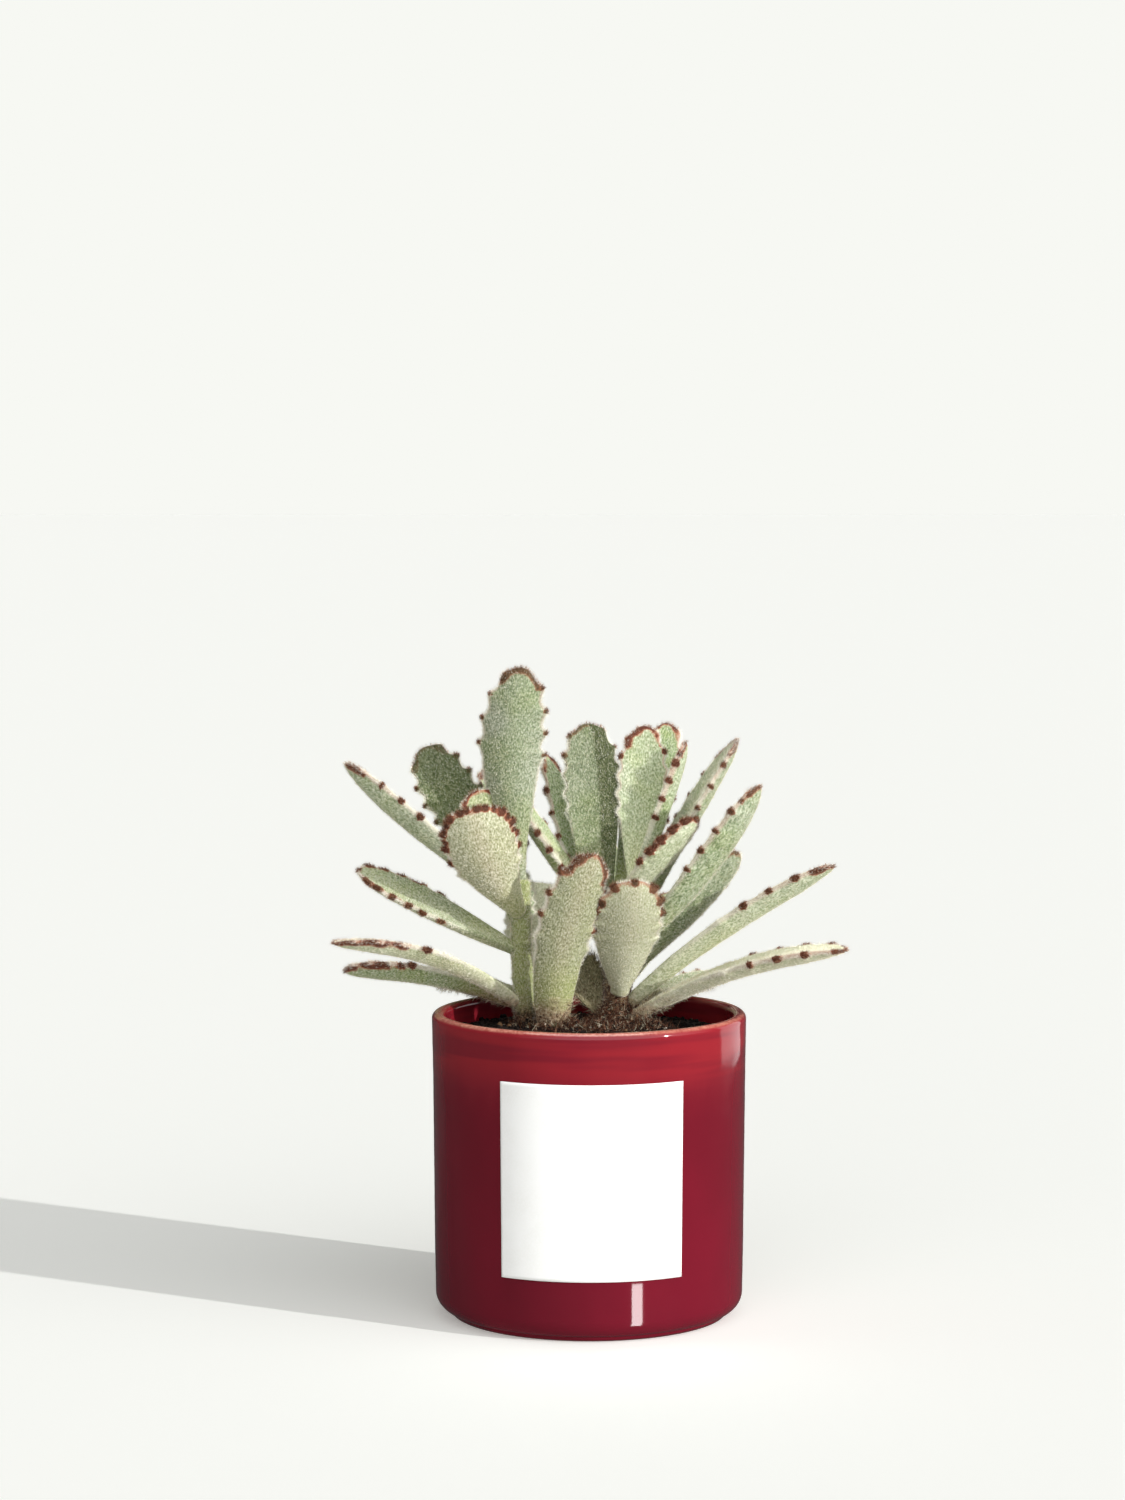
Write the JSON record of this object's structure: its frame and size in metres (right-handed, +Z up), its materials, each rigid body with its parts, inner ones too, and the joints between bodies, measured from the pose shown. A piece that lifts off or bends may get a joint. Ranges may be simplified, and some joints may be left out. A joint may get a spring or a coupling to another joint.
{
  "type": "potted panda plant",
  "caption": "Panda plant: felted, thick succulent leaves with brown-toothed margins on short shoots, growing in a round red glazed pot with a blank paper label.",
  "frame": {"origin": "centre of the pot's foot, on the surface it stands on", "axes": "+Z up, -Y to the front, where the label is, and +X to the right as seen from the front"},
  "size_m": [0.1693, 0.1176, 0.2153],
  "materials": {
    "glaze": "deep red glaze on fired clay, glossy",
    "soil": "dark, moist potting mix",
    "paper": "plain white paper, matt",
    "stem": "green to brown shoot with short fuzz",
    "leaf": "grey-green leaf covered in pale felt, with red-brown teeth"
  },
  "bodies": {
    "root": {"pot": "glaze", "soil": "soil", "label": "paper", "left_stem": "stem", "mid_stem": "stem", "low_stem": "stem", "left_leaf_1": "leaf", "left_leaf_2": "leaf", "left_leaf_3": "leaf", "left_leaf_4": "leaf", "left_leaf_5": "leaf", "left_leaf_6": "leaf", "left_leaf_7": "leaf", "left_leaf_8": "leaf", "left_leaf_9": "leaf", "left_leaf_10": "leaf", "left_leaf_11": "leaf", "left_leaf_12": "leaf", "mid_leaf_1": "leaf", "mid_leaf_2": "leaf", "mid_leaf_3": "leaf", "mid_leaf_4": "leaf", "mid_leaf_5": "leaf", "mid_leaf_6": "leaf", "mid_leaf_7": "leaf", "mid_leaf_8": "leaf", "mid_leaf_9": "leaf", "mid_leaf_10": "leaf", "mid_leaf_11": "leaf", "mid_leaf_12": "leaf", "mid_leaf_13": "leaf", "mid_leaf_14": "leaf", "mid_leaf_15": "leaf", "mid_leaf_16": "leaf", "mid_leaf_17": "leaf", "low_leaf_1": "leaf", "low_leaf_2": "leaf"}
  },
  "joints": []
}
